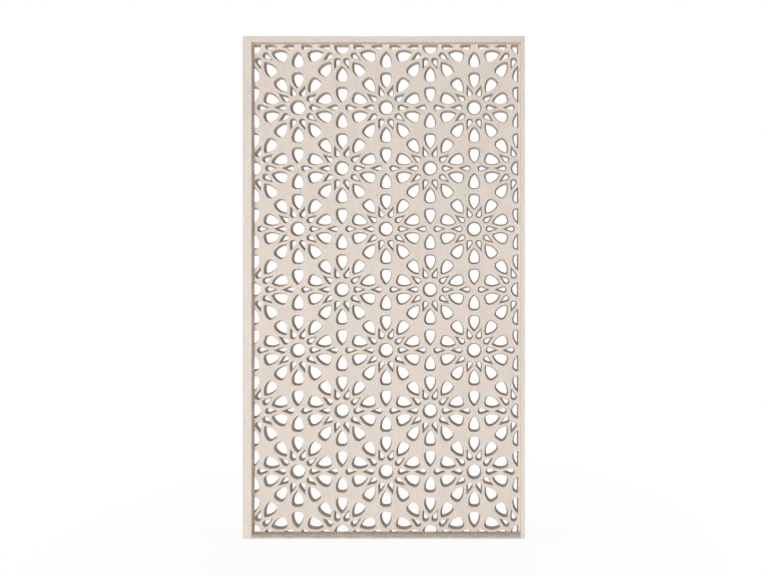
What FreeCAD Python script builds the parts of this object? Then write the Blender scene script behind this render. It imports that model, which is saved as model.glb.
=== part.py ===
import FreeCAD, Part
import math
import os

# A pierced concrete screen: twelve cast rosette tiles, jointed and pinned edge to edge, seated behind
# the front lip of a four-piece concrete border. Millimetres, +Z up, the front looks towards -Y, and
# the origin is the middle of the underside.

# Field of tiles
rosette_pitch = 380.0        # one rosette centre to the next, across a row
tile_columns = 3
tile_rows = 4
tile_thickness = 25.0
tile_joint = 1.5             # mortar between two tiles

# Holes of the pattern, measured on the front face of a tile
hole_draft = 6.0             # each wall leans in this far from the front face to the back
centre_hole_radius = 32.5
centre_hole_back_radius = 25.0
petal_count = 10
petal_tip_radius = 81.0      # rosette centre to a petal's point
petal_width = 51.0
petal_corner_radius = 19.0
petal_side_bow = 26.0        # degrees by which a petal's side leaves its point outside a straight line
strap_width = 20.0           # concrete left between the flat ends of two facing petals
slot_circle_radius = 64.0    # rosette centre to the round end of a small slot
slot_end_radius = 14.0
slot_length = 40.0           # centre of the slot's round end to its point
waist_slot_reach = 29.0      # middle of the waist between two rosettes to a waist slot's round end

# Border
lip_depth = 42.0             # how far the border stands in front of the tiles
back_lip_depth = 20.0        # how far it stands behind them
left_jamb_width = 38.0
right_jamb_width = 18.0
head_height = 25.0
sill_height = 16.0
left_cover = 5.0             # left lip's edge to the outer line of rosettes behind it
sill_cover = 4.0
right_reveal = 9.0           # outer line of rosettes, and of the pattern, to the right lip's edge
head_reveal = 8.0            # outer line of rosettes to the head lip's edge, where the pattern ends
left_run_on = 14.0           # pattern that runs on behind the left lip, from the lip's edge
left_back_setback = 15.0     # left back lip's edge behind the front lip's, clear of the pattern
left_seat = 22.0             # tile behind the front lip
right_seat = 8.0
head_seat = 8.0
sill_seat = 8.0
bedding = 2.0                # mortar between tile edges and border
corner_joint = 1.5           # mortar between jambs and head or sill

# Steel inside
pin_diameter = 5.0
pin_reach = 20.0             # pin length on each side of a tile joint
edge_pin_reach = 30.0        # pin length inside a tile at the border
edge_pin_share = 0.6         # part of the border's web that an edge pin enters
pin_clearance = 0.1
bar_diameter = 5.0
dowel_diameter = 6.0
dowel_jamb_reach = 13.0
dowel_rail_reach = 40.0
socket_diameter = 11.0
socket_length = 45.0
socket_bore = 8.0
socket_bore_depth = 32.0
cross_pin_diameter = 4.0
cross_pin_setback = 38.0     # jamb end to the cross pin of a socket
cross_pin_cover = 2.5

# Places through the depth of the front lip, as shares of that depth from its front
front_bar_share = 0.16
dowel_share = 0.42
socket_share = 0.75
sill_bar_share = 0.75        # second bar of the sill, which has no back lip
back_bar_share = 0.5         # place through the depth of the back lip

overrun = 2.0                # how far cutting shapes pass the faces they cut

# Worked out from the sizes above
tile_height = rosette_pitch * math.tan(math.radians(54))
petal_step = 360 / petal_count
apothem = rosette_pitch / (4 * math.sin(math.radians(36)))
petal_end = apothem - strap_width / 2
ring_pin_radius = (centre_hole_radius + slot_circle_radius - slot_end_radius) / 2
band_pin_height = tile_height / 2 - apothem

field_width = tile_columns * rosette_pitch
field_height = tile_rows * tile_height
total_width = left_jamb_width - left_cover + field_width + right_reveal + right_jamb_width
total_height = sill_height - sill_cover + field_height + head_reveal + head_height
total_depth = lip_depth + tile_thickness + back_lip_depth

front = -total_depth / 2
lip_back = front + lip_depth
tile_back = lip_back + tile_thickness
back = total_depth / 2
tile_middle = (lip_back + tile_back) / 2
left_side = -total_width / 2
right_side = total_width / 2

opening_left = left_side + left_jamb_width
opening_right = right_side - right_jamb_width
opening_bottom = sill_height
opening_top = total_height - head_height
back_left = opening_left - left_back_setback
field_left = opening_left - left_cover
field_right = field_left + field_width
field_bottom = opening_bottom - sill_cover

# Outer edges of the tiled field, then the faces of the border's webs that the bedding fills up to
tiles_left = opening_left - left_seat
tiles_right = opening_right + right_seat
tiles_bottom = opening_bottom - sill_seat
tiles_top = opening_top + head_seat
web_left = tiles_left - bedding
web_right = tiles_right + bedding
web_bottom = tiles_bottom - bedding
web_top = tiles_top + bedding

# Edges of the pattern. At the foot it runs off the lower edge of the tiles.
pattern_left = opening_left - left_run_on
pattern_right = field_right
pattern_bottom = tiles_bottom - hole_draft - overrun
pattern_top = opening_top

Vector = FreeCAD.Vector
ACROSS = Vector(1, 0, 0)
DEEP = Vector(0, 1, 0)
UP = Vector(0, 0, 1)


def box(x0, x1, y0, y1, z0, z1):
    return Part.makeBox(x1 - x0, y1 - y0, z1 - z0, Vector(x0, y0, z0))


def rod(diameter, start, direction, length):
    return Part.makeCylinder(diameter / 2, length, start, direction)


def arc(first, middle, last):
    return Part.Arc(first, middle, last).toShape()


def line(first, last):
    return Part.LineSegment(first, last).toShape()


def polar(centre, radius, angle):
    """Point at an angle (radians, +X towards +Z) around a centre, in the centre's own plane."""
    return centre + Vector(radius * math.cos(angle), 0, radius * math.sin(angle))


def petal_outline(inset, depth):
    """A petal along +X: two bowed sides from its point, two round corners and a flat outer end."""
    corner = Vector(petal_end - petal_corner_radius, depth, petal_width / 2 - petal_corner_radius)
    point = Vector(petal_tip_radius, depth, 0)
    reach = corner - point
    straight = math.atan2(reach.z, reach.x) + math.asin(petal_corner_radius / reach.Length)
    lean = straight + math.radians(petal_side_bow)
    normal = Vector(math.sin(lean), 0, -math.cos(lean))
    bulge = reach.dot(normal) - petal_corner_radius
    side_radius = (reach.Length ** 2 - petal_corner_radius ** 2) / (2 * bulge)
    side_centre = point + normal * side_radius

    side_offset = side_centre.z
    bowed = side_radius - inset
    tip_x = side_centre.x - math.sqrt(bowed ** 2 - side_offset ** 2)
    touch = math.atan2(corner.z - side_centre.z, corner.x - side_centre.x)
    tip = math.atan2(-side_offset, tip_x - side_centre.x)
    rounded = petal_corner_radius - inset
    upper = [
        Vector(tip_x, depth, 0),
        polar(side_centre, bowed, (tip + touch) / 2),
        polar(corner, rounded, touch),
        polar(corner, rounded, touch / 2),
        polar(corner, rounded, 0),
    ]
    lower = [Vector(p.x, p.y, -p.z) for p in upper]
    return Part.Wire([
        arc(upper[0], upper[1], upper[2]),
        arc(upper[2], upper[3], upper[4]),
        line(upper[4], lower[4]),
        arc(lower[4], lower[3], lower[2]),
        arc(lower[2], lower[1], lower[0]),
    ])


def slot_outline(inset, depth):
    """A teardrop along +X: a round end about the origin and a point ahead of it."""
    centre = Vector(0, depth, 0)
    radius = slot_end_radius - inset
    flank = math.acos(slot_end_radius / slot_length)
    tip = Vector(radius * slot_length / slot_end_radius, depth, 0)
    upper = polar(centre, radius, flank)
    lower = polar(centre, radius, -flank)
    heel = polar(centre, radius, math.pi)
    return Part.Wire([
        line(tip, upper),
        arc(upper, polar(centre, radius, (flank + math.pi) / 2), heel),
        arc(heel, polar(centre, radius, -(flank + math.pi) / 2), lower),
        line(lower, tip),
    ])


def tapered(outline):
    """Cutting shape through a tile: the outline on the front face shrinks to the back by the draft."""
    extra = hole_draft * overrun / tile_thickness
    wires = [outline(-extra, lip_back - overrun), outline(hole_draft + extra, tile_back + overrun)]
    return Part.makeLoft(wires, True, True)


def pattern_window():
    """The whole pattern: it ends at this window's edges, and the rims of the outer tiles stay plain."""
    extra = hole_draft * overrun / tile_thickness
    inset = hole_draft + extra
    return Part.makeWedge(pattern_left - extra, lip_back - overrun, pattern_bottom - extra,
                          pattern_bottom + inset, pattern_left + inset,
                          pattern_right + extra, tile_back + overrun, pattern_top + extra,
                          pattern_top - inset, pattern_right - inset)


def round_hole():
    extra = (centre_hole_radius - centre_hole_back_radius) * overrun / tile_thickness
    return Part.makeCone(centre_hole_radius + extra, centre_hole_back_radius - extra,
                         tile_thickness + 2 * overrun, Vector(0, lip_back - overrun, 0), DEEP)


def placed(shape, x, z, angle=0):
    """A copy turned about the front-to-back axis (degrees, +X towards +Z), then moved in the plane."""
    copy = shape.copy()
    turn = FreeCAD.Rotation(DEEP, -angle)
    copy.Placement = FreeCAD.Placement(Vector(x, 0, z), turn)
    return copy


def rosette_centres():
    """Rosettes stand on every corner and in the middle of every tile."""
    for row in range(tile_rows + 1):
        for column in range(tile_columns + 1):
            yield field_left + column * rosette_pitch, field_bottom + row * tile_height
    for row in range(tile_rows):
        for column in range(tile_columns):
            yield field_left + (column + 0.5) * rosette_pitch, field_bottom + (row + 0.5) * tile_height


def pattern_holes():
    petal = tapered(petal_outline)
    slot = tapered(slot_outline)
    centre = round_hole()
    holes = []
    for x, z in rosette_centres():
        holes.append(placed(centre, x, z))
        for number in range(petal_count):
            slot_angle = number * petal_step
            holes.append(placed(petal, x, z, slot_angle + petal_step / 2))
            slot_x = x + slot_circle_radius * math.cos(math.radians(slot_angle))
            slot_z = z + slot_circle_radius * math.sin(math.radians(slot_angle))
            holes.append(placed(slot, slot_x, slot_z, slot_angle))
        # The waists left and right of the rosette each hold a slot that points back at it.
        waist_slot = rosette_pitch / 2 - waist_slot_reach
        holes.append(placed(slot, x + waist_slot, z, 180))
        holes.append(placed(slot, x - waist_slot, z, 0))
        # The petals above and below are mirrored across their straps.
        holes.append(placed(petal, x, z + 2 * apothem, -90))
        holes.append(placed(petal, x, z - 2 * apothem, 90))
    return within_window(holes)


def within_window(holes):
    """Holes inside the window stay whole, and those on its edge are cut off there."""
    window = pattern_window()
    whole = box(pattern_left + hole_draft, pattern_right - hole_draft, front, back,
                pattern_bottom + hole_draft, pattern_top - hole_draft).BoundBox
    kept = []
    for hole in holes:
        if whole.isInside(hole.BoundBox):
            kept.append(hole)
        elif window.BoundBox.intersect(hole.BoundBox):
            kept.extend(hole.common(window).Solids)
    return kept


def cut_by(block, tools):
    """The block without the tools that reach it."""
    near = [tool for tool in tools if block.BoundBox.intersect(tool.BoundBox)]
    return block.cut(near) if near else block


def loose(rods):
    """Bores for rods that lie along one axis: each wider by the clearance all round."""
    return [Part.makeCylinder(r + pin_clearance, length, start, direction)
            for r, length, start, direction in rods]


def rods_of(specs):
    return [Part.makeCylinder(r, length, start, direction) for r, length, start, direction in specs]


def pin(start, direction, length):
    return pin_diameter / 2, length, start, direction


# Lines of the joints, and the places along them where the pattern leaves solid concrete
column_lines = [field_left + column * rosette_pitch for column in range(1, tile_columns)]
row_lines = [field_bottom + row * tile_height for row in range(1, tile_rows)]
tile_centre_heights = [field_bottom + (row + 0.5) * tile_height for row in range(tile_rows)]
tile_centre_places = [field_left + (column + 0.5) * rosette_pitch for column in range(tile_columns)]
band_offsets = [-band_pin_height, band_pin_height]
ring_offsets = [ring_pin_radius - rosette_pitch / 2, rosette_pitch / 2 - ring_pin_radius]


def level_pins():
    """Level pins through the upright joints, in the straps above and below each waist."""
    return [pin(Vector(x - pin_reach, tile_middle, z + offset), ACROSS, 2 * pin_reach)
            for x in column_lines for z in tile_centre_heights for offset in band_offsets]


def upright_pins():
    """Upright pins through the level joints, in the rings round the centre holes."""
    return [pin(Vector(x + offset, tile_middle, z - pin_reach), UP, 2 * pin_reach)
            for z in row_lines for x in tile_centre_places for offset in ring_offsets]


def left_edge_pins():
    start = web_left - edge_pin_share * (web_left - left_side)
    length = tiles_left + edge_pin_reach - start
    return [pin(Vector(start, tile_middle, z + offset), ACROSS, length)
            for z in tile_centre_heights for offset in band_offsets]


def right_edge_pins():
    start = tiles_right - edge_pin_reach
    length = web_right + edge_pin_share * (right_side - web_right) - start
    return [pin(Vector(start, tile_middle, z + offset), ACROSS, length)
            for z in tile_centre_heights for offset in band_offsets]


def head_edge_pins():
    start = tiles_top - edge_pin_reach
    length = web_top + edge_pin_share * (total_height - web_top) - start
    return [pin(Vector(x + offset, tile_middle, start), UP, length)
            for x in tile_centre_places for offset in ring_offsets]


def lip_place(share):
    return front + share * lip_depth


front_bar = lip_place(front_bar_share)
sill_bar = lip_place(sill_bar_share)
back_bar = tile_back + back_bar_share * back_lip_depth

jamb_middles = [(left_side + opening_left) / 2, (opening_right + right_side) / 2]
head_middle = (opening_top + total_height) / 2
sill_middle = sill_height / 2
left_back_middle = (left_side + back_left) / 2


def jamb_bars(front_x, back_x):
    return [(bar_diameter / 2, total_height, Vector(x, y, 0), UP)
            for x, y in ((front_x, front_bar), (back_x, back_bar))]


def left_jamb_bars():
    return jamb_bars(jamb_middles[0], left_back_middle)


def right_jamb_bars():
    return jamb_bars(jamb_middles[1], jamb_middles[1])


def rail_bars(z, places):
    start = opening_left + corner_joint
    length = opening_right - corner_joint - start
    return [(bar_diameter / 2, length, Vector(start, y, z), ACROSS) for y in places]


def head_bars():
    return rail_bars(head_middle, [front_bar, back_bar])


def sill_bars():
    return rail_bars(sill_middle, [front_bar, sill_bar])


def corner_dowels():
    """One level dowel in each corner, from the jamb's lip into the end of the head or sill."""
    length = dowel_jamb_reach + dowel_rail_reach
    y = lip_place(dowel_share)
    dowels = []
    for z in (sill_middle, head_middle):
        dowels.append((dowel_diameter / 2, length, Vector(opening_left - dowel_jamb_reach, y, z), ACROSS))
        dowels.append((dowel_diameter / 2, length, Vector(opening_right - dowel_rail_reach, y, z), ACROSS))
    return dowels


def socket_places():
    """Mouth of each fixing socket and the way into the jamb from there."""
    y = lip_place(socket_share)
    for x in jamb_middles:
        yield Vector(x, y, 0), UP
        yield Vector(x, y, total_height), -UP


def cross_pin(mouth, inward):
    length = right_jamb_width - 2 * cross_pin_cover
    start = mouth + inward * cross_pin_setback - ACROSS * (length / 2)
    return rod(cross_pin_diameter, start, ACROSS, length)


def fixing_socket(mouth, inward):
    body = rod(socket_diameter, mouth, inward, socket_length)
    bore = rod(socket_bore, mouth - inward * overrun, inward, socket_bore_depth + overrun)
    return body.cut([bore, cross_pin(mouth, inward)])


def socket_pockets():
    pockets = []
    for mouth, inward in socket_places():
        pockets.append(rod(socket_diameter, mouth - inward * overrun, inward, socket_length + overrun))
        pockets.append(cross_pin(mouth, inward))
    return pockets


def front_lip(x0, x1, z0, z1):
    return box(x0, x1, front, lip_back, z0, z1)


def web(x0, x1, z0, z1):
    return box(x0, x1, lip_back, tile_back, z0, z1)


def back_lip(x0, x1, z0, z1):
    return box(x0, x1, tile_back, back, z0, z1)


def member(blocks, cuts):
    """A border member: its web and lips are cast in one piece, and the tiles sit between the lips."""
    return cut_by(blocks[0].fuse(blocks[1:]).removeSplitter(), cuts)


def border():
    dowel_bores = loose(corner_dowels())
    jamb_cuts = dowel_bores + socket_pockets()
    left = member([web(left_side, web_left, 0, total_height),
                   front_lip(left_side, opening_left, 0, total_height),
                   back_lip(left_side, back_left, 0, total_height)],
                  jamb_cuts + rods_of(left_jamb_bars()) + loose(left_edge_pins()))
    right = member([web(web_right, right_side, 0, total_height),
                    front_lip(opening_right, right_side, 0, total_height),
                    back_lip(opening_right, right_side, 0, total_height)],
                   jamb_cuts + rods_of(right_jamb_bars()) + loose(right_edge_pins()))
    rail_left = opening_left + corner_joint
    rail_right = opening_right - corner_joint
    web_start = web_left + corner_joint
    web_end = web_right - corner_joint
    head = member([web(web_start, web_end, web_top, total_height),
                   front_lip(rail_left, rail_right, opening_top, total_height),
                   back_lip(back_left + corner_joint, rail_right, opening_top, total_height)],
                  dowel_bores + rods_of(head_bars()) + loose(head_edge_pins()))
    sill = member([web(web_start, web_end, 0, web_bottom),
                   front_lip(rail_left, rail_right, 0, opening_bottom)],
                  dowel_bores + rods_of(sill_bars()))
    return {"left_jamb": left, "right_jamb": right, "head": head, "sill": sill}


def corner_joints():
    """Mortar at both ends of the head and sill, beside their lips and beside their webs."""
    ends = [(opening_left, web_left, back_left),
            (opening_right - corner_joint, web_right - corner_joint, opening_right - corner_joint)]
    joints = []
    for lip_x, web_x, back_x in ends:
        joints.append(front_lip(lip_x, lip_x + corner_joint, 0, opening_bottom))
        joints.append(web(web_x, web_x + corner_joint, 0, web_bottom))
        joints.append(front_lip(lip_x, lip_x + corner_joint, opening_top, total_height))
        joints.append(web(web_x, web_x + corner_joint, web_top, total_height))
        joints.append(back_lip(back_x, back_x + corner_joint, opening_top, total_height))
    dowel_bores = loose(corner_dowels())
    return [cut_by(joint, dowel_bores) for joint in joints]


def beddings():
    return {
        "left_bedding": cut_by(web(web_left, tiles_left, web_bottom, web_top), loose(left_edge_pins())),
        "right_bedding": cut_by(web(tiles_right, web_right, web_bottom, web_top), loose(right_edge_pins())),
        "head_bedding": cut_by(web(tiles_left, tiles_right, tiles_top, web_top), loose(head_edge_pins())),
        "sill_bedding": web(tiles_left, tiles_right, web_bottom, tiles_bottom),
    }


def tile_spans(lines, first, last):
    """Edges of the tiles along one direction, with half a joint kept free at each inner line."""
    starts = [first] + [place + tile_joint / 2 for place in lines]
    ends = [place - tile_joint / 2 for place in lines] + [last]
    return list(zip(starts, ends))


column_spans = tile_spans(column_lines, tiles_left, tiles_right)
row_spans = tile_spans(row_lines, tiles_bottom, tiles_top)


def tiles(cuts):
    """Tiles by row from the top and by column from the left. All inner rows are castings of one kind."""
    cast = {}
    for row, (z0, z1) in enumerate(reversed(row_spans), 1):
        for column, (x0, x1) in enumerate(column_spans, 1):
            if 2 < row < tile_rows:
                cast[row, column] = cast[2, column].translated(UP * (2 - row) * tile_height)
            else:
                cast[row, column] = cut_by(box(x0, x1, lip_back, tile_back, z0, z1), cuts)
    return cast


def level_joints(cuts):
    """Mortar on each line between two rows, the same on all of them."""
    first = row_lines[0]
    strips = [box(x0, x1, lip_back, tile_back, first - tile_joint / 2, first + tile_joint / 2)
              for x0, x1 in column_spans]
    pieces = [solid for strip in strips for solid in cut_by(strip, cuts).Solids]
    return [piece.translated(UP * (z - first)) for z in row_lines for piece in pieces]


def upright_joints(cuts):
    """Mortar on each line between two columns, the same on all of them."""
    first = column_lines[0]
    strips = [box(first - tile_joint / 2, first + tile_joint / 2, lip_back, tile_back, z0, z1)
              for z0, z1 in row_spans]
    pieces = [solid for strip in strips for solid in cut_by(strip, cuts).Solids]
    return [piece.translated(ACROSS * (x - first)) for x in column_lines for piece in pieces]


def export(name, shapes):
    solids = [solid for shape in shapes for solid in shape.Solids]
    shape = solids[0] if len(solids) == 1 else Part.makeCompound(solids)
    shape.exportStep(os.path.join("parts", name + ".step"))
    print(f"{name}: {len(solids)} solid(s), {shape.Volume / 1e3:.1f} cm3, valid {shape.isValid()}")


def build():
    os.makedirs("parts", exist_ok=True)
    tile_pins = level_pins() + upright_pins()
    edge_pins = left_edge_pins() + right_edge_pins() + head_edge_pins()
    cuts = pattern_holes() + loose(tile_pins + edge_pins)

    for (row, column), tile in tiles(cuts).items():
        export(f"jali_tile_row{row}_col{column}", [tile])
    export("level_tile_joints", level_joints(cuts))
    export("upright_tile_joints", upright_joints(cuts))
    for name, strip in beddings().items():
        export(name, [strip])

    for name, piece in border().items():
        export(name, [piece])
    export("corner_joints", corner_joints())

    export("level_tile_pins", rods_of(level_pins()))
    export("upright_tile_pins", rods_of(upright_pins()))
    export("left_edge_pins", rods_of(left_edge_pins()))
    export("right_edge_pins", rods_of(right_edge_pins()))
    export("head_edge_pins", rods_of(head_edge_pins()))
    export("left_jamb_bars", rods_of(left_jamb_bars()))
    export("right_jamb_bars", rods_of(right_jamb_bars()))
    export("head_bars", rods_of(head_bars()))
    export("sill_bars", rods_of(sill_bars()))
    export("corner_dowels", rods_of(corner_dowels()))
    export("fixing_sockets", [fixing_socket(*place) for place in socket_places()])
    export("socket_cross_pins", [cross_pin(*place) for place in socket_places()])


build()
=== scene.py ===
"""A concrete jali panel: pierced rosette tiles in a slim concrete border, on a white studio floor."""

import math

import bmesh
import bpy
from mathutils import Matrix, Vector


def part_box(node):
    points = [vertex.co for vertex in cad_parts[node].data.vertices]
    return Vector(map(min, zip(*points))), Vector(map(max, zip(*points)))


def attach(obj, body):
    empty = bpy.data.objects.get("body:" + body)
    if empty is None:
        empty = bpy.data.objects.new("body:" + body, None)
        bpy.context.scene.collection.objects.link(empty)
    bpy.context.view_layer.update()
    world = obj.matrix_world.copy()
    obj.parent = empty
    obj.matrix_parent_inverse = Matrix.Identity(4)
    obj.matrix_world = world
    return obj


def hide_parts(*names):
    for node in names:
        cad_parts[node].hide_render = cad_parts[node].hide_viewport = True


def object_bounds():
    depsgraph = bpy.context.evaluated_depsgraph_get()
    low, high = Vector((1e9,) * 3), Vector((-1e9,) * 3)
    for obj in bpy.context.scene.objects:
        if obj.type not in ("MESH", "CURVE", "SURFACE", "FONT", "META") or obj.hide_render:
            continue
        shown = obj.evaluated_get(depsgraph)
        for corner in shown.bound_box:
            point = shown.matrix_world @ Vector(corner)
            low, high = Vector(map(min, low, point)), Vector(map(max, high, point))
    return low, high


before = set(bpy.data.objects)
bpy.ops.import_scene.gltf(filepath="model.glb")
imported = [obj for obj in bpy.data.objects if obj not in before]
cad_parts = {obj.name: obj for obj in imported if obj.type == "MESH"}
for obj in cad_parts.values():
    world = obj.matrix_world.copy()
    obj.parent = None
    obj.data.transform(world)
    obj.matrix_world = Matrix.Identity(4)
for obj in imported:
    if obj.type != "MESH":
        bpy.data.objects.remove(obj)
cad_low, cad_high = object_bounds()

NEAR = 1e-5                 # points this close, in metres, are one point
FLAT = math.radians(0.5)    # faces that meet flatter than this are one face
SHARP = math.radians(25)    # edges that meet more sharply than this are arrises
FACED = 0.9999              # how squarely the front and back faces look along the panel's depth
TILE_ARRIS = 0.0011         # rounding of the arrises round the holes
BORDER_ARRIS = 0.0016
ARRIS_STEPS = 2
WIDE, DEEP, HIGH = range(3)

TILES = sorted(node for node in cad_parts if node.startswith("jali_tile"))
JAMBS = ["left_jamb", "right_jamb"]
RAILS = ["head", "sill"]
MORTAR = sorted(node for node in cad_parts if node.endswith(("joints", "bedding")))
STEEL = sorted(set(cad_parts) - set(TILES + JAMBS + RAILS + MORTAR))


class Field:
    """A socket of a surface's nodes that can be used in sums."""

    def __init__(self, surface, socket):
        self.surface = surface
        self.socket = socket

    def sum(self, operation, first, second):
        return self.surface.node("ShaderNodeMath", {"operation": operation}, {0: first, 1: second})

    def __add__(self, other):
        return self.sum("ADD", self, other)

    def __radd__(self, other):
        return self.sum("ADD", other, self)

    def __sub__(self, other):
        return self.sum("SUBTRACT", self, other)

    def __rsub__(self, other):
        return self.sum("SUBTRACT", other, self)

    def __mul__(self, other):
        return self.sum("MULTIPLY", self, other)

    def __rmul__(self, other):
        return self.sum("MULTIPLY", other, self)

    def or_more(self, other):
        return self.sum("MAXIMUM", self, other)


class Surface:
    """A material, or the world, whose nodes are made by one method."""

    def __init__(self, owner):
        owner.use_nodes = True
        self.tree = owner.node_tree
        self.tree.nodes.clear()

    def node(self, kind, settings=None, inputs=None, output=0):
        made = self.tree.nodes.new(kind)
        for name, value in (settings or {}).items():
            if name == "stops":
                self.set_stops(made.color_ramp, value)
            else:
                setattr(made, name, value)
        for name, value in (inputs or {}).items():
            if isinstance(value, Field):
                self.tree.links.new(value.socket, made.inputs[name])
            else:
                made.inputs[name].default_value = value
        return Field(self, made.outputs[output]) if made.outputs else None

    @staticmethod
    def set_stops(ramp, stops):
        while len(ramp.elements) < len(stops):
            ramp.elements.new(1.0)
        for element, (place, level) in zip(ramp.elements, stops):
            element.position = place
            element.color = (level, level, level, 1.0)

    def place(self):
        """Object coordinates, in metres."""
        return self.node("ShaderNodeTexCoord", output="Object")

    def stretched(self, place, scale):
        return self.node("ShaderNodeMapping", {"vector_type": "POINT"}, {"Vector": place, "Scale": scale})

    def along(self, vector, axis):
        return self.node("ShaderNodeSeparateXYZ", None, {"Vector": vector}, axis)

    def noise(self, place, scale, detail=4.0, roughness=0.55):
        """Soft patches, about as many to a metre as the scale says."""
        return self.node("ShaderNodeTexNoise", {"noise_dimensions": "3D"},
                         {"Vector": place, "Scale": scale, "Detail": detail, "Roughness": roughness})

    def cells(self, place, scale, output="Distance"):
        return self.node("ShaderNodeTexVoronoi", {"voronoi_dimensions": "3D", "feature": "F1"},
                         {"Vector": place, "Scale": scale}, output)

    def cell_number(self, place, scale):
        """A chance number from 0 to 1 for each cell."""
        return self.node("ShaderNodeSeparateColor", {"mode": "RGB"},
                         {"Color": self.cells(place, scale, "Color")})

    def ramp(self, value, stops):
        return self.node("ShaderNodeValToRGB", {"stops": stops}, {"Fac": value})

    def rising(self, value, low, high):
        return self.ramp(value, [(low, 0.0), (high, 1.0)])

    def falling(self, value, low, high):
        return self.ramp(value, [(low, 1.0), (high, 0.0)])

    def between(self, share, first, second):
        """One colour over another, by a share."""
        return self.node("ShaderNodeMix", {"data_type": "RGBA", "blend_type": "MIX"},
                         {0: share, 6: first, 7: second}, 2)

    def bump(self, relief, strength, depth):
        return self.node("ShaderNodeBump", None, {"Strength": strength, "Distance": depth, "Height": relief})

    def finish(self, shader, kind="ShaderNodeOutputMaterial"):
        self.node(kind, None, {"Surface": shader})


def shade(red, green, blue):
    """A colour as seen on a screen (0 to 255), as the linear colour that nodes take."""
    parts = []
    for value in (red, green, blue):
        value /= 255
        parts.append(value / 12.92 if value <= 0.04045 else ((value + 0.055) / 1.055) ** 2.4)
    return (*parts, 1.0)


# Tones. The three of a cast are its body, its warmer patches and its paler clouds.
TILE_TONES = (shade(222, 211, 201), shade(226, 209, 198), shade(226, 217, 207))
BORDER_TONES = (shade(227, 215, 205), shade(230, 214, 204), shade(231, 221, 211))
CEMENT_GREY = shade(210, 205, 193)
PINK_SAND = shade(226, 206, 201)
STRAW_SAND = shade(222, 213, 196)
DRIED_RUN = shade(196, 184, 172)
# Painted shade for the sill's faces, darkest towards its top edge
FOOT_SHADE = shade(142, 130, 119)
DARK_GRAIN = shade(150, 138, 126)
LIGHT_GRAIN = shade(240, 234, 226)
# Painted shade inside the air holes
AIR_HOLE_SHADE = shade(128, 117, 106)
# Painted shade for the walls of the holes and the border's sides
WALL_SHADE = shade(152, 139, 127)
RUBBED_ARRIS = shade(240, 231, 222)
MORTAR_TONES = (shade(217, 206, 195), shade(224, 213, 203))
MORTAR_GRAIN = shade(160, 149, 138)
STEEL_TONES = (shade(196, 196, 194), shade(212, 211, 208))
CEMENT_ON_STEEL = shade(186, 181, 174)
WHITE = (1.0, 1.0, 1.0, 1.0)
FLOOR_PAINT = (0.85, 0.85, 0.85, 1.0)

STONE_GLOSS = 0.3           # specular level of concrete and mortar
GRAINS = 620.0              # sand grains to a metre of concrete
MORTAR_GRAINS = 800.0
PITS = 58.0                 # cells to a metre, some of which hold an air hole
PIT_REACH = 0.17            # radius of the largest air hole, as a share of its cell


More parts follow.
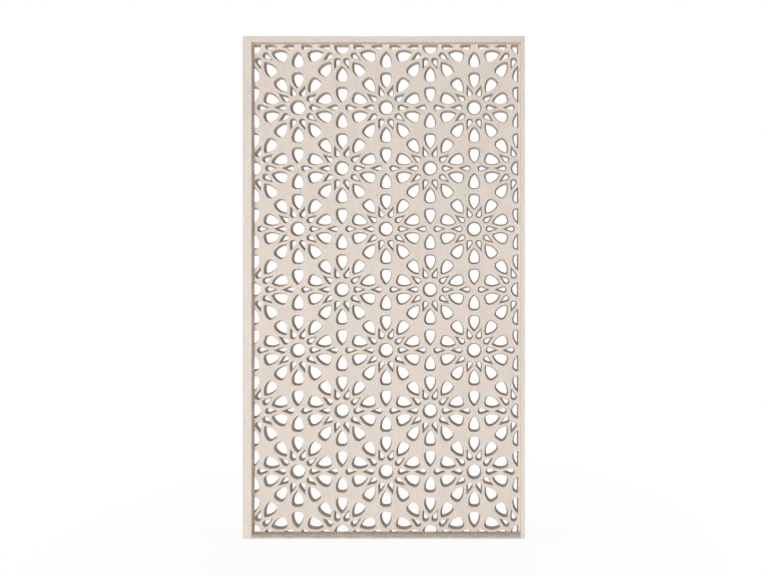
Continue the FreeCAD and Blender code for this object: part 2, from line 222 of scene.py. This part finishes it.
def cast_concrete(name, tones, pit_share, wall_shade_share, painted_foot_shade=False):
    """Fine cast concrete: cloudy colour, sand grain, a few air holes and rubbed arrises."""
    material = bpy.data.materials.new(name)
    surface = Surface(material)
    place = surface.place()
    body, warm, pale = tones

    # Clouds: wide patches of a warmer and of a greyer tone, and thumb-size ones of a paler tone
    wide = surface.rising(surface.noise(place, 3.1, 3.0), 0.38, 0.64)
    grey = surface.noise(surface.stretched(place, (1.0, 1.0, 0.7)), 6.5)
    grey = surface.rising(grey, 0.46, 0.7)
    cloud = surface.rising(surface.noise(place, 17.0, 5.0, 0.62), 0.36, 0.66)
    colour = surface.between(wide * 0.75, body, warm)
    colour = surface.between(grey * 0.6, colour, CEMENT_GREY)
    colour = surface.between(cloud * 0.55, colour, pale)

    # Faint pink and straw tints of the sand, a few centimetres across
    tint = surface.noise(place, 21.0, 2.0)
    colour = surface.between(surface.rising(tint, 0.52, 0.68) * 0.6, colour, PINK_SAND)
    colour = surface.between(surface.falling(tint, 0.32, 0.48) * 0.6, colour, STRAW_SAND)

    # Faint runs left by water that has dried on the face
    runs = surface.noise(surface.stretched(place, (34.0, 34.0, 2.2)), 1.0, 4.0, 0.6)
    colour = surface.between(surface.rising(runs, 0.5, 0.78) * 0.22, colour, DRIED_RUN)

    # How squarely a face looks to the front or the back. The walls of holes and the border's sides don't.
    facing = surface.along(surface.node("ShaderNodeTexCoord", output="Normal"), DEEP)
    faced = facing * facing

    if painted_foot_shade:
        # Painted shade at the foot: the sill's front and back faces are painted darker towards their top
        # edge, less so further down
        height = 40.0 * surface.along(place, HIGH) + 0.16 * cloud - 0.08
        foot_shade = surface.ramp(height, [(0.0, 0.12), (0.2, 0.3), (0.37, 0.68), (0.55, 0.85)])
        colour = surface.between(foot_shade * faced, colour, FOOT_SHADE)

    # Sand: single grains, some darker and some paler than the paste round them
    grain = surface.cell_number(place, GRAINS)
    colour = surface.between(surface.rising(grain, 0.86, 0.9) * 0.3, colour, DARK_GRAIN)
    colour = surface.between(surface.falling(grain, 0.1, 0.14) * 0.3, colour, LIGHT_GRAIN)

    # Air holes: the cores of a few of the cells of a coarser net, painted dark as the shade inside each
    # hollow
    pick = surface.cell_number(place, PITS)
    core = surface.cells(place, PITS) - PIT_REACH * surface.rising(pick, 1.0 - pit_share, 1.0)
    pit = surface.falling(core + 0.5, 0.49, 0.53)
    pit = pit * surface.rising(pick, 1.0 - pit_share, 1.02 - pit_share)
    colour = surface.between(pit * 0.55, colour, AIR_HOLE_SHADE)

    # Painted shade: the walls of the holes and the border's sides are painted darker to stand in for the
    # shade in these recesses, with faint streaks where the mould drew away
    drawn = surface.noise(surface.stretched(place, (150.0, 20.0, 150.0)), 1.0, 3.0)
    colour = surface.between((1 - faced) * (wall_shade_share + 0.12 * drawn), colour, WALL_SHADE)

    # Arrises rub paler
    rubbed = surface.node("ShaderNodeAttribute", {"attribute_type": "GEOMETRY", "attribute_name": "arris"},
                          output="Fac")
    rubbed = rubbed * surface.rising(surface.noise(place, 46.0), 0.4, 0.62)
    colour = surface.between(rubbed * 0.55, colour, RUBBED_ARRIS)

    fine = surface.noise(place, 900.0, 3.0)
    skin = surface.noise(place, 120.0, 5.0, 0.6)
    relief = 0.45 * skin + 0.3 * fine + 0.25 * grain - 1.6 * pit
    surface.finish(surface.node("ShaderNodeBsdfPrincipled", None, {
        "Base Color": colour,
        "Roughness": 0.86 + 0.08 * skin + 0.05 * pit - 0.06 * rubbed,
        "Normal": surface.bump(relief, 0.5, 0.0006),
        "Specular IOR Level": STONE_GLOSS}))
    return material


def lime_mortar():
    """Fine mortar, close to the tiles in colour and a little sandier."""
    material = bpy.data.materials.new("mortar")
    surface = Surface(material)
    place = surface.place()
    cloud = surface.rising(surface.noise(place, 40.0, 5.0, 0.6), 0.35, 0.65)
    grain = surface.cell_number(place, MORTAR_GRAINS)
    colour = surface.between(cloud, *MORTAR_TONES)
    colour = surface.between(surface.rising(grain, 0.84, 0.9) * 0.35, colour, MORTAR_GRAIN)
    relief = 0.6 * surface.noise(place, 500.0) + 0.4 * grain
    surface.finish(surface.node("ShaderNodeBsdfPrincipled", None, {
        "Base Color": colour,
        "Roughness": 0.88 + 0.08 * cloud,
        "Normal": surface.bump(relief, 0.6, 0.0005),
        "Specular IOR Level": STONE_GLOSS}))
    return material


def drawn_steel():
    """Stainless rod and socket stock: drawn along its length, with faint scratches and dull cement marks."""
    material = bpy.data.materials.new("stainless_steel")
    surface = Surface(material)
    place = surface.place()
    drawn = surface.noise(surface.stretched(place, (900.0, 900.0, 60.0)), 1.0, 3.0)
    marks = surface.rising(surface.noise(place, 70.0, 5.0, 0.65), 0.5, 0.7)
    colour = surface.between(drawn, *STEEL_TONES)
    colour = surface.between(marks * 0.5, colour, CEMENT_ON_STEEL)
    surface.finish(surface.node("ShaderNodeBsdfPrincipled", None, {
        "Base Color": colour,
        "Metallic": 1 - 0.6 * marks,
        "Roughness": 0.28 + 0.12 * drawn + 0.3 * marks,
        "Normal": surface.bump(drawn, 0.15, 0.0002)}))
    return material


def along_face(edge, low, high, axis):
    """Whether an edge lies in the lowest or the highest face of a box across that axis."""
    first, last = edge.verts
    return any(abs(first.co[axis] - side[axis]) < NEAR and abs(last.co[axis] - side[axis]) < NEAR
               for side in (low, high))


def is_arris(edge):
    return len(edge.link_faces) == 2 and edge.calc_face_angle(0.0) > SHARP


def jamb_arrises(shape, low, high):
    """The sharp edges of the front and the back face."""
    return [edge for edge in shape.edges if is_arris(edge) and along_face(edge, low, high, DEEP)]


def hole_arrises(shape, low, high):
    """Edges round the holes on both faces of a tile. The edges in the joints stay square."""
    return [edge for edge in jamb_arrises(shape, low, high)
            if not along_face(edge, low, high, WIDE) and not along_face(edge, low, high, HIGH)]


def rail_arrises(shape, low, high):
    """The long edges of the head or sill. Its ends stay square in the corner joints."""
    return [edge for edge in jamb_arrises(shape, low, high)
            if abs(edge.verts[0].co.x - edge.verts[1].co.x) > abs(edge.verts[0].co.z - edge.verts[1].co.z)]


def rounded_copy(node, arrises, radius, material):
    """A CAD node's shape with its visible arrises rounded, in the node's place."""
    low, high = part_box(node)
    shape = bmesh.new()
    shape.from_mesh(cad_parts[node].data)
    bmesh.ops.remove_doubles(shape, verts=shape.verts, dist=NEAR)
    bmesh.ops.dissolve_limit(shape, angle_limit=FLAT, use_dissolve_boundaries=False,
                             verts=shape.verts, edges=shape.edges, delimit=set())
    rubbed = shape.faces.layers.float.new("arris")
    made = bmesh.ops.bevel(shape, geom=arrises(shape, low, high), offset=radius, offset_type="OFFSET",
                           affect="EDGES", segments=ARRIS_STEPS, profile=0.5, material=-1,
                           clamp_overlap=False, loop_slide=True)
    for face in made["faces"]:
        face[rubbed] = 1.0
    for face in shape.faces:
        face.smooth = True
    for edge in shape.edges:
        flat = any(abs(face.normal.y) > FACED for face in edge.link_faces)
        edge.smooth = not flat and edge.calc_face_angle(0.0) < SHARP
    mesh = bpy.data.meshes.new(node + "_cast")
    shape.to_mesh(mesh)
    shape.free()
    mesh.materials.append(material)
    piece = bpy.data.objects.new(node + "_cast", mesh)
    bpy.context.scene.collection.objects.link(piece)
    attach(piece, "root")
    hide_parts(node)


def repaint(nodes, material):
    for node in nodes:
        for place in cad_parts[node].material_slots:
            place.material = material


# The wall share sets how much painted shade darkens the walls of the holes and the border's sides
tile_concrete = cast_concrete("tile_concrete", TILE_TONES, pit_share=0.1, wall_shade_share=0.51)
border_concrete = cast_concrete("border_concrete", BORDER_TONES, pit_share=0.08, wall_shade_share=0.09)
# The sill carries painted shade on its faces along the foot
sill_concrete = cast_concrete("sill_concrete", BORDER_TONES, pit_share=0.08, wall_shade_share=0.09,
                              painted_foot_shade=True)

for tile in TILES:
    rounded_copy(tile, hole_arrises, TILE_ARRIS, tile_concrete)
for jamb in JAMBS:
    rounded_copy(jamb, jamb_arrises, BORDER_ARRIS, border_concrete)
for rail, concrete in zip(RAILS, (border_concrete, sill_concrete)):
    rounded_copy(rail, rail_arrises, BORDER_ARRIS, concrete)
repaint(MORTAR, lime_mortar())
repaint(STEEL, drawn_steel())


def seen_directly(surface):
    """1 where the camera sees a surface straight on or in gloss or glass, 0 where it only sends light."""
    camera_ray, glossy_ray, glass_ray = [
        surface.node("ShaderNodeLightPath", output=name)
        for name in ("Is Camera Ray", "Is Glossy Ray", "Is Transmission Ray")]
    return camera_ray.or_more(glossy_ray).or_more(glass_ray)


def studio_floor(reach):
    """A pale floor that keeps the panel's shadow near it and fades to white further off."""
    shape = bmesh.new()
    bmesh.ops.create_grid(shape, x_segments=1, y_segments=1, size=reach)
    mesh = bpy.data.meshes.new("studio_floor")
    shape.to_mesh(mesh)
    shape.free()
    floor = bpy.data.objects.new("studio_floor", mesh)
    bpy.context.scene.collection.objects.link(floor)
    material = bpy.data.materials.new("studio_floor")
    surface = Surface(material)
    away = surface.node("ShaderNodeVectorMath", {"operation": "LENGTH"}, {0: surface.place()}, "Value")
    faded = surface.ramp(away * 0.4, [(0.2, 0.94), (0.6, 1.0)])
    paint = surface.node("ShaderNodeBsdfDiffuse", None, {"Color": FLOOR_PAINT})
    white = surface.node("ShaderNodeEmission", None, {"Color": WHITE, "Strength": 1.0})
    surface.finish(surface.node("ShaderNodeMixShader", None,
                                {0: faded * seen_directly(surface), 1: paint, 2: white}))
    mesh.materials.append(material)


def studio_air(strength):
    """A weak even light from all round, seen as white."""
    world = bpy.data.worlds.new("studio_air")
    bpy.context.scene.world = world
    surface = Surface(world)
    dim = surface.node("ShaderNodeBackground", None, {"Color": WHITE, "Strength": strength})
    white = surface.node("ShaderNodeBackground", None, {"Color": WHITE, "Strength": 1.0})
    surface.finish(surface.node("ShaderNodeMixShader", None, {0: seen_directly(surface), 1: dim, 2: white}),
                   "ShaderNodeOutputWorld")


def soft_lamp(name, place, aim, width, length, power):
    lamp = bpy.data.lights.new(name, "AREA")
    lamp.shape = "RECTANGLE"
    lamp.size = width
    lamp.size_y = length
    lamp.energy = power
    holder = bpy.data.objects.new(name, lamp)
    holder.location = place
    holder.rotation_euler = (Vector(aim) - Vector(place)).to_track_quat("-Z", "Y").to_euler()
    bpy.context.scene.collection.objects.link(holder)


studio_floor(reach=30.0)
studio_air(strength=0.135)
panel_middle = (cad_low + cad_high) / 2
soft_lamp("front_lamp", (-0.65, -6.0, 0.66), panel_middle, width=1.25, length=1.25, power=269.0)
soft_lamp("back_lamp", (0.6, 4.6, 1.6), panel_middle, width=2.0, length=2.0, power=125.0)
# Strip lamps level with the panel's edges light its sides and top, and leave the holes in shade.
soft_lamp("left_strip", (-3.5, -0.02, 1.1), (0.0, -0.02, 1.1), width=0.2, length=2.0, power=34.0)
soft_lamp("right_strip", (3.5, -0.02, 1.1), (0.0, -0.02, 1.1), width=0.2, length=2.0, power=34.0)
soft_lamp("top_strip", (0.0, -0.02, 4.6), (0.0, -0.02, 0.0), width=1.2, length=0.2, power=22.0)

# The photograph is square-on, from the right of the panel's middle, and framed by shifting the lens.
PIXELS_ACROSS = 768
SENSOR = 36.0
METRES_PER_PIXEL = 0.004249         # at the front of the border
STANDOFF = 3.3                      # lens to the front of the border
PANEL_LEFT_PIXEL = 242.5
PANEL_FOOT_PIXEL = 539.0
AXIS_PIXEL = (498.0, 256.0)         # where the lens looks straight ahead
MIDDLE_PIXEL = (384.0, 288.0)

camera = bpy.data.cameras.new("camera")
camera.sensor_width = SENSOR
camera.lens = STANDOFF / METRES_PER_PIXEL / PIXELS_ACROSS * SENSOR
camera.shift_x = (MIDDLE_PIXEL[0] - AXIS_PIXEL[0]) / PIXELS_ACROSS
camera.shift_y = (AXIS_PIXEL[1] - MIDDLE_PIXEL[1]) / PIXELS_ACROSS
viewer = bpy.data.objects.new("camera", camera)
viewer.location = (cad_low.x + (AXIS_PIXEL[0] - PANEL_LEFT_PIXEL) * METRES_PER_PIXEL,
                   cad_low.y - STANDOFF,
                   (PANEL_FOOT_PIXEL - AXIS_PIXEL[1]) * METRES_PER_PIXEL)
viewer.rotation_euler = (math.radians(90), 0.0, 0.0)
bpy.context.scene.collection.objects.link(viewer)
bpy.context.scene.camera = viewer
bpy.context.scene.view_settings.view_transform = "Standard"
